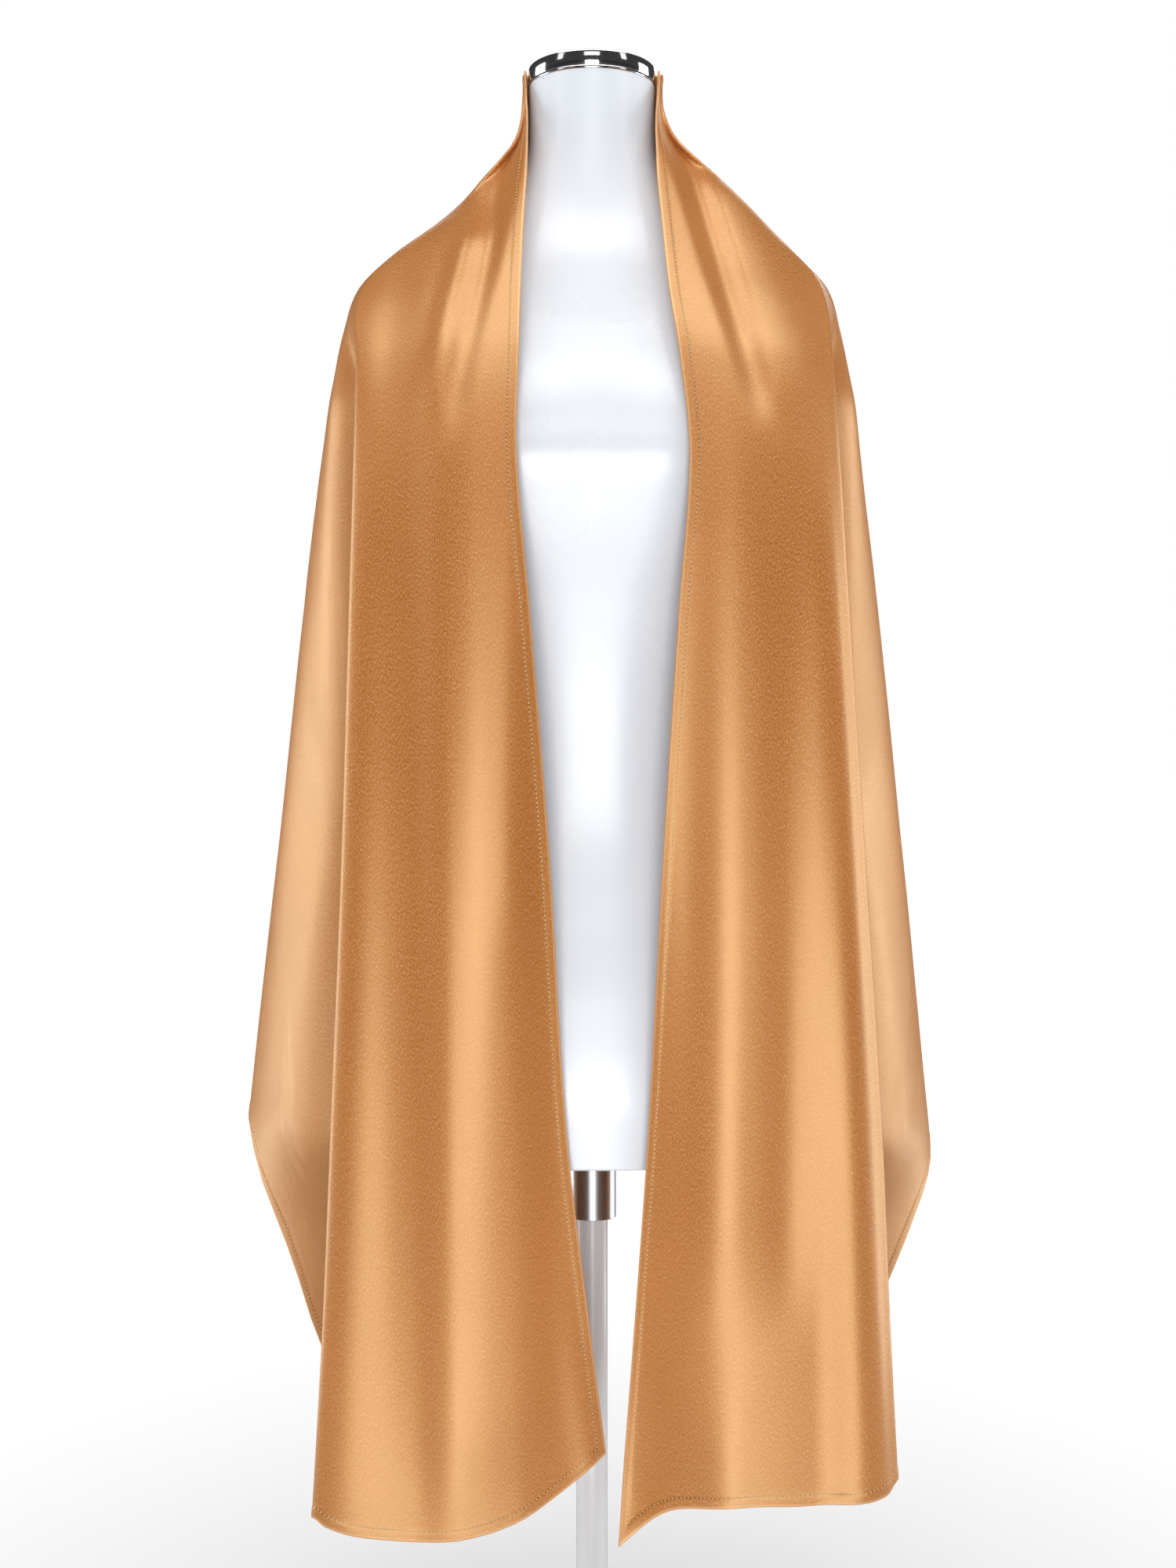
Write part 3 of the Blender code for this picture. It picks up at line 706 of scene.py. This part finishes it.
def makeStole():
    grid, distance, acrossAt = clothGrid()
    rowCount, columnCount = distance.shape
    acrossWay = unit(np.gradient(grid, axis=1))
    downWay = unit(np.gradient(grid, axis=0))
    outWay = unit(np.cross(acrossWay, downWay))
    half = wallProfile(distance)[:, :, None]
    rowGaps = np.linalg.norm(np.diff(grid, axis=0), axis=2)
    downAt = np.concatenate([np.zeros((1, columnCount)), np.cumsum(rowGaps, axis=0)])
    rims = stoleCloth["rimSteps"]
    rimAngles = np.arange(1, rims + 1) * math.pi / (rims + 1)
    rowFaces = [(0, -1, a) for a in np.linspace(math.pi / 2, 0, rims + 1)[:-1]]
    rowFaces += [(row, 0, 0.0) for row in range(rowCount)]
    rowFaces += [(rowCount - 1, 1, a) for a in np.linspace(0, math.pi / 2, rims + 1)[1:]]

    points, places, edges, loops = [], [], [], []
    for row, way, angle in rowFaces:
        wide = math.cos(angle)
        centre = grid[row] + way * downWay[row] * half[row] * math.sin(angle)
        closed = wide < 1e-6
        start = len(points)
        order = []
        for c in range(columnCount):
            order.append((c, outWay[row, c] * half[row, c] * wide))
        for a in rimAngles:
            turn = outWay[row, -1] * math.cos(a) + acrossWay[row, -1] * math.sin(a)
            order.append((columnCount - 1, turn * half[row, -1] * wide))
        for c in reversed(range(columnCount)):
            order.append((c, -outWay[row, c] * half[row, c] * wide))
        for a in rimAngles[::-1]:
            turn = outWay[row, 0] * math.cos(a) - acrossWay[row, 0] * math.sin(a)
            order.append((0, turn * half[row, 0] * wide))
        if closed:
            loops.append([start + c for c, _ in order])
            order = order[:columnCount]
        else:
            loops.append(list(range(start, start + len(order))))
        for c, offset in order:
            points.append(centre[c] + (0 if closed else offset))
            places.append((acrossAt[row, c] * mm, downAt[row, c] * mm))
            edges.append(distance[row, c])
    faces = []
    for upper, lower in zip(loops, loops[1:]):
        count = len(upper)
        for k in range(count):
            following = (k + 1) % count
            face = [upper[k], lower[k], lower[following], upper[following]]
            corners = [v for n, v in enumerate(face) if v != face[n - 1]]
            if len(corners) > 2:
                faces.append(tuple(corners[::-1]))
    piece = meshPiece("stoleSatin", points, faces, satin)
    piece.shadow_terminator_geometry_offset = stoleCloth["terminator"]
    mesh = piece.data
    places = np.array(places, np.float32)
    corner = np.empty(len(mesh.loops), np.int32)
    mesh.loops.foreach_get("vertex_index", corner)
    mesh.uv_layers.new(name="clothPlace").data.foreach_set("uv", places[corner].ravel())
    hemDistance = mesh.attributes.new("hemDistance", "FLOAT", "POINT")
    hemDistance.data.foreach_set("value", np.array(edges, np.float32))
    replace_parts(piece, "stole")
    print("stole:", rowCount, "rows,", columnCount, "columns,", len(faces), "faces")
    return piece, grid, outWay, half[:, :, 0]


topstitch = {
    "pitch": 2.9,
    "length": 1.9,
    "radius": 0.40,
    "lift": 0.02,
    "sides": 4,
    "rings": ((-0.36, 0.75), (0.0, 1.0), (0.36, 0.75)),  # share of the length, share of the radius
    "dip": 0.8,  # how far its ends go into the cloth, as a share of the radius
    "lookAhead": 0.5,  # distance either way in which its direction is taken
}


def stitchLine(grid, outWay, half, side):
    # the closed line of the topstitching on one face of the cloth, with its outward directions
    k = stoleCloth["edgeSteps"].index(stoleCloth["stitchLine"])
    rowCount, columnCount = half.shape
    path = [(r, k) for r in range(k, rowCount - k)]
    path += [(rowCount - 1 - k, c) for c in range(k + 1, columnCount - k)]
    path += [(r, columnCount - 1 - k) for r in range(rowCount - 2 - k, k - 1, -1)]
    path += [(k, c) for c in range(columnCount - 2 - k, k - 1, -1)]
    r, c = np.array(path).T
    facing = outWay[r, c] * side
    return grid[r, c] + facing * (half[r, c] + topstitch["lift"])[:, None], facing


def makeStitches(grid, outWay, half):
    points, faces = [], []
    sides, radius, length, rings = (topstitch[key] for key in ("sides", "radius", "length", "rings"))
    look, dip = topstitch["lookAhead"], topstitch["dip"] * radius

    def valueAt(at, arc, values):
        return np.array([np.interp(at, arc, values[:, axis]) for axis in range(3)])

    for side in (1, -1):
        line, facing = stitchLine(grid, outWay, half, side)
        arc = np.concatenate([[0], np.cumsum(np.linalg.norm(np.diff(line, axis=0), axis=1))])
        for at in np.arange(topstitch["pitch"] / 2, arc[-1], topstitch["pitch"]):
            centre = valueAt(at, arc, line)
            run = unit(valueAt(at + look, arc, line) - valueAt(at - look, arc, line))
            up = unit(valueAt(at, arc, facing))
            cross = unit(np.cross(run, up))
            start = len(points)
            for share, wide in rings:
                for step in range(sides):
                    angle = 2 * math.pi * (step + 0.5) / sides
                    offset = cross * math.cos(angle) + up * math.sin(angle)
                    points.append(centre + run * share * length + offset * radius * wide)
            points.append(centre - run * length / 2 - up * dip)
            points.append(centre + run * length / 2 - up * dip)
            first, last = start + sides * len(rings), start + sides * len(rings) + 1
            for step in range(sides):
                following = (step + 1) % sides
                for ring in range(len(rings) - 1):
                    a, b = start + ring * sides, start + (ring + 1) * sides
                    faces.append((a + step, a + following, b + following, b + step))
                faces.append((first, start + following, start + step))
                end = start + (len(rings) - 1) * sides
                faces.append((last, end + step, end + following))
    piece = meshPiece("stoleTopstitch", points, faces, thread)
    print("topstitch:", len(faces), "faces")
    return piece


stole, clothPoints, clothOut, clothHalf = makeStole()
stitches = makeStitches(clothPoints, clothOut, clothHalf)


# The dress form

formShape = {
    "columns": 144,
    "ringsInLevel": 8,
    "bustCentre": 72.0,
    "bustSpread": 46.0,
    "bustBlend": 4.0,
    "undersideEdge": 2.0,
    "sharpFrom": 50.0,  # degrees
}
formLevels = (
    # z, half width, front, back, squareness, bust
    (398, 143, 105, 104, 2.2, 0),
    (440, 148, 107, 110, 2.2, 0),
    (500, 142, 100, 112, 2.2, 0),
    (560, 128, 92, 101, 2.2, 0),
    (630, 114, 86, 88, 2.2, 0),
    (700, 117, 88, 87, 2.2, 0),
    (770, 128, 97, 92, 2.3, 2),
    (830, 137, 110, 97, 2.4, 7),
    (870, 142, 116, 100, 2.4, 8),
    (910, 147, 109, 102, 2.4, 5),
    (950, 154, 92, 101, 2.4, 1),
    (975, 159, 78, 93, 2.4, 0),
    (990, 155.5, 69, 86, 2.3, 0),
    (1004, 142, 61, 79, 2.2, 0),
    (1018, 121, 55, 72, 2.1, 0),
    (1035, 94, 50, 64, 2.0, 0),
    (1055, 68, 46.6, 55, 2.0, 0),
    (1075, 52, 45, 49, 2.0, 0),
    (1095, 45.6, 44.3, 45.2, 2.0, 0),
    (1137.3, 44.2, 44.2, 44.2, 2.0, 0),
)


def formRing(z, inset):
    halfWidth, front, back, squareness, bust = readTable(formLevels, z)
    angle = np.arange(formShape["columns"]) * 2 * math.pi / formShape["columns"]
    c, s = np.cos(angle), np.sin(angle)
    power = 2 / squareness
    x = halfWidth * np.sign(c) * np.abs(c) ** power
    y = np.where(s > 0, back, front) * np.sign(s) * np.abs(s) ** power
    away = (np.abs(x) - formShape["bustCentre"]) / formShape["bustSpread"]
    y = y - np.where(s < 0, bust * np.exp(-away * away) * ease(-s * formShape["bustBlend"]), 0)
    shrink = 1 - inset / halfWidth
    return np.stack([x * shrink, y * shrink, np.full_like(x, z)], axis=1)


def makeForm():
    levels = [row[0] for row in formLevels]
    edge = formShape["undersideEdge"]
    heights = [(levels[0] + edge * (1 - math.cos(a)), edge * (1 - math.sin(a))) for a in (0.0, 0.5, 1.0)]
    heights += [(levels[0] + edge, 0.0)]
    for low, high in zip(levels, levels[1:]):
        for k in range(1, formShape["ringsInLevel"] + 1):
            z = low + (high - low) * k / formShape["ringsInLevel"]
            if z > levels[0] + edge:
                heights.append((z, 0.0))
    points = np.concatenate([formRing(z, inset) for z, inset in heights])
    around = formShape["columns"]
    faces = []
    for ring in range(len(heights) - 1):
        for k in range(around):
            a, b = ring * around + k, ring * around + (k + 1) % around
            faces.append((a, b, b + around, a + around))
    faces.append(tuple(range(around))[::-1])
    last = (len(heights) - 1) * around
    faces.append(tuple(range(last, last + around)))
    piece = meshPiece("formBody", points, faces, glossWhite)
    piece.data.set_sharp_from_angle(angle=math.radians(formShape["sharpFrom"]))
    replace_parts(piece, "form_body")
    return piece


makeForm()
print("form made")


# Neck band and cap

neckBand = {
    "radius": 44.8,
    "wall": 3.8,
    "height": 12.4,
    "edge": 0.9,
    "innerEdge": 0.4,
    "lipHeight": 1.5,
    "lipStep": 0.2,
    "lipEdge": 0.3,
    "lipRound": 0.1,
    "grooveTop": 0.5,  # the fine groove above the lip
    "grooveDepth": 0.15,
    "capDrop": 3.0,
    "capEdge": 1.5,
    "gap": 0.3,
}


def roundedCorner(radius, height, size, quarter, steps=4):
    # points of a quarter round; quarter 0 is outer top, 1 outer bottom
    made = []
    for k in range(steps + 1):
        angle = math.pi / 2 * k / steps
        if quarter == 0:
            made.append((radius - size + size * math.sin(angle), height - size + size * math.cos(angle)))
        else:
            made.append((radius - size + size * math.cos(angle), height + size - size * math.sin(angle)))
    return made


def makeNeck():
    low = formLevels[-1][0] + neckBand["gap"]
    high = low + neckBand["height"]
    outer, inner = neckBand["radius"], neckBand["radius"] - neckBand["wall"]
    face = outer - neckBand["lipStep"]
    lip = low + neckBand["lipHeight"]
    edge, innerEdge = neckBand["lipEdge"], neckBand["innerEdge"]
    profile = roundedCorner(face, high, neckBand["edge"], 0)
    profile += [(face, lip + neckBand["grooveTop"]), (face - neckBand["grooveDepth"], lip + edge)]
    profile += [(outer - neckBand["lipRound"], lip), (outer, lip - edge)]
    profile += [(outer, low + edge), (outer - edge, low)]
    profile += [(inner, low), (inner, high - innerEdge), (inner + innerEdge, high)]
    band = turnedPiece("neckBand", profile, 160, polishedMetal)
    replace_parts(band, "neck_band")
    rim = inner - neckBand["gap"]
    capTop = high - neckBand["capDrop"]
    cap = [(0, capTop)] + roundedCorner(rim, capTop, neckBand["capEdge"], 0) + [(rim, low), (0, low)]
    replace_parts(turnedPiece("neckCap", cap, 120, polishedMetal), "neck_plate")


makeNeck()
print("neck band made")


# Stand

standShape = {
    "poleRadius": 11.0,
    "poleEdge": 0.5,
    "socketRadius": 17.0,
    "socketLength": 46.0,
    "socketFillet": 3.0,
    "socketEdge": 0.6,
    "flangeRadius": 34.0,
    "flangeThickness": 5.0,
    "flangeEdge": 1.0,
    "baseRadius": 155.0,
    "baseThickness": 10.0,
    "baseEdge": 3.0,
    "baseUnderEdge": 0.6,
    "bossRadius": 19.0,
    "bossHeight": 14.0,
    "bossEdge": 2.0,
    "bossFoot": 9.0,
    "bossFootRise": 0.8,  # the foot's height as a share of its width
    "gap": 0.3,
}


def hollowCurve(radius, height, out, up, steps=6):
    # a hollow fillet from an upright side down to a flat face
    angles = [math.pi / 2 * k / steps for k in range(steps + 1)]
    return [(radius + out * (1 - math.cos(a)), height + up * (1 - math.sin(a))) for a in angles]


def makeStand():
    s = standShape
    top = formLevels[0][0] - s["gap"]
    low = top - s["flangeThickness"]
    bore = s["poleRadius"] + s["gap"]
    socket = [(0, top), (s["flangeRadius"], top)]
    socket += roundedCorner(s["flangeRadius"], low, s["flangeEdge"], 1)
    radius, fillet, edge, end = s["socketRadius"], s["socketFillet"], s["socketEdge"], low - s["socketLength"]
    socket += [(radius + fillet * (1 - math.sin(a)), low - fillet * (1 - math.cos(a)))
               for a in (0.0, 0.4, 0.8, 1.2, math.pi / 2)]
    socket += [(radius, end + edge), (radius - edge, end), (bore, end), (bore, low), (0, low)]
    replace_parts(turnedPiece("poleSocket", socket, 96, satinMetal), "pole_socket")

    bossTop = s["baseThickness"] + s["bossHeight"]
    base = [(0, bossTop)] + roundedCorner(s["bossRadius"], bossTop, s["bossEdge"], 0)
    base += hollowCurve(s["bossRadius"], s["baseThickness"], s["bossFoot"], s["bossFoot"] * s["bossFootRise"])
    base += roundedCorner(s["baseRadius"], s["baseThickness"], s["baseEdge"], 0, 6)
    base += roundedCorner(s["baseRadius"], 0.0, s["baseUnderEdge"], 1) + [(0, 0)]
    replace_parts(turnedPiece("standBase", base, 160, whiteLacquer), "stand_base")

    poleTop, poleLow = low - s["gap"], bossTop + s["gap"]
    pole = [(0, poleTop)] + roundedCorner(s["poleRadius"], poleTop, s["poleEdge"], 0)
    pole += roundedCorner(s["poleRadius"], poleLow, s["poleEdge"], 1) + [(0, poleLow)]
    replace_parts(turnedPiece("standPole", pole, 96, whiteLacquer), "stand_pole")


makeStand()
print("stand made")


# Floor, lights and camera

studio = {
    "floorColour": (0.55, 0.55, 0.56),
    "floorShade": 0.98,  # its paint's darker patches, beside floorColour
    "floorRoughness": 0.85,
    "floorGrain": (60.0, 1.2),
    "floorGlow": (0.42, 1.0),  # how bright the camera sees it, near the middle and at the backdrop
    "floorRadius": 30.0,
    "floorFade": (0.3, 3.0),  # m from the middle, where the floor starts to brighten and meets the backdrop
    "worldColour": (1.0, 1.0, 1.0),
    "worldStrength": 0.05,
    "backdropStrength": 1.0,
    "lights": (
        # name, place, aimed at, width and height, watts, colour
        ("leftOverheadLight", (-1.05, -0.75, 3.0), (-0.1, -0.05, 1.0), (1.3, 1.3), 19.0, (1.0, 0.99, 0.97)),
        ("rightOverheadLight", (1.05, -0.75, 3.0), (0.1, -0.05, 1.0), (1.3, 1.3), 19.0, (1.0, 0.99, 0.97)),
        ("chestLight", (0.0, -1.5, 2.85), (0.0, -0.1, 0.92), (1.6, 0.9), 17.0, (1.0, 1.0, 1.0)),
        ("lowFrontLight", (0.0, -3.2, 0.46), (0.0, 0.0, 0.55), (1.2, 0.9), 30.0, (1.0, 1.0, 1.0)),
        ("farStripLight", (0.0, -2.05, 0.015), (0.0, -2.05, 1.0), (0.5, 1.5), 10.0, (1.0, 1.0, 1.0)),
        ("nearStripLight", (0.0, -0.85, 0.015), (0.0, -0.85, 1.0), (0.27, 0.9), 3.3, (1.0, 1.0, 1.0)),
        ("leftStripLight", (-1.65, 0.6, 0.015), (-1.65, 0.6, 1.0), (1.3, 0.6), 9.0, (1.0, 1.0, 1.0)),
        ("rightStripLight", (1.65, 0.6, 0.015), (1.65, 0.6, 1.0), (1.3, 0.6), 9.0, (1.0, 1.0, 1.0)),
        ("leftSideLight", (-2.29, 0.57, 0.87), (0.0, 0.0, 0.75), (1.1, 1.7), 27.0, (1.0, 1.0, 1.0)),
        ("rightSideLight", (2.29, 0.57, 0.87), (0.0, 0.0, 0.75), (1.1, 1.7), 27.0, (1.0, 1.0, 1.0)),
        ("leftBandStrip", (-1.87, -1.17, 1.9), (0.0, 0.0, 1.14), (0.40, 0.7), 1.2, (1.0, 1.0, 1.0)),
        ("rightBandStrip", (1.87, -1.17, 1.9), (0.0, 0.0, 1.14), (0.40, 0.7), 1.2, (1.0, 1.0, 1.0)),
        ("frontBandStrip", (0.0, -3.0, 2.2), (0.0, 0.0, 1.14), (1.45, 0.7), 4.6, (1.0, 1.0, 1.0)),
        ("backLight", (0.3, 2.8, 2.4), (0.0, 0.0, 0.8), (2.0, 1.6), 25.0, (1.0, 1.0, 1.0)),
    ),
}
photoCamera = {"place": (-0.00275, -1.45, 0.65), "longSideAngle": 41.54, "sensor": 36.0}


def makeFloor():
    bpy.ops.mesh.primitive_circle_add(vertices=96, radius=studio["floorRadius"], fill_type="NGON")
    floor = bpy.context.active_object
    floor.name = "studioFloor"
    material, nodes, links, shader = newMaterial("palePaint", {"Roughness": studio["floorRoughness"]})
    place = nodes.new("ShaderNodeTexCoord")
    grainSize, smudgeSize = studio["floorGrain"]
    grain = placeGroup(nodes, fineGrain, {"Grain Size": grainSize, "Smudge Size": smudgeSize})
    links.new(place.outputs["Object"], grain.inputs["Place"])
    shaded = tuple(value * studio["floorShade"] for value in studio["floorColour"])
    paint = colourMix(nodes, links, grain.outputs["Smudge"], studio["floorColour"], shaded)
    links.new(paint, shader.inputs["Base Color"])
    away = nodes.new("ShaderNodeVectorMath")
    away.operation = "LENGTH"
    links.new(place.outputs["Object"], away.inputs[0])
    seen = nodes.new("ShaderNodeLightPath")
    fade = rangeNode(nodes, links, away.outputs["Value"], *studio["floorFade"], *studio["floorGlow"])
    glow = mathNode(nodes, links, "MULTIPLY", fade, seen.outputs["Is Camera Ray"])
    glowColour = colourMix(nodes, links, glow, (0.0, 0.0, 0.0), (1.0, 1.0, 1.0))
    links.new(glowColour, shader.inputs["Emission Color"])
    shader.inputs["Emission Strength"].default_value = studio["backdropStrength"]
    floor.data.materials.append(material)


def makeLights():
    for name, place, aim, (width, height), watts, colour in studio["lights"]:
        data = bpy.data.lights.new(name, "AREA")
        data.shape = "RECTANGLE"
        data.size, data.size_y = width, height
        data.energy = watts
        data.color = colour
        light = bpy.data.objects.new(name, data)
        light.location = place
        light.rotation_euler = (Vector(aim) - Vector(place)).to_track_quat("-Z", "Y").to_euler()
        light.visible_camera = False
        bpy.context.scene.collection.objects.link(light)
    world = bpy.data.worlds.new("studioWorld")
    world.use_nodes = True
    nodes, links = world.node_tree.nodes, world.node_tree.links
    sky = nodes["Background"]
    sky.inputs["Color"].default_value = (*studio["worldColour"], 1.0)
    seen = nodes.new("ShaderNodeLightPath")
    strength = rangeNode(nodes, links, seen.outputs["Is Camera Ray"], 0, 1, studio["worldStrength"],
                         studio["backdropStrength"])
    links.new(strength, sky.inputs["Strength"])
    bpy.context.scene.world = world


def makeCamera():
    data = bpy.data.cameras.new("photoCamera")
    data.sensor_fit = "AUTO"
    data.sensor_width = photoCamera["sensor"]
    data.lens = photoCamera["sensor"] / (2 * math.tan(math.radians(photoCamera["longSideAngle"] / 2)))
    camera = bpy.data.objects.new("photoCamera", data)
    camera.location = photoCamera["place"]
    camera.rotation_euler = (math.pi / 2, 0.0, 0.0)
    bpy.context.scene.collection.objects.link(camera)
    bpy.context.scene.camera = camera


makeFloor()
makeLights()
makeCamera()
bpy.context.scene.view_settings.view_transform = "Standard"
print("studio made")
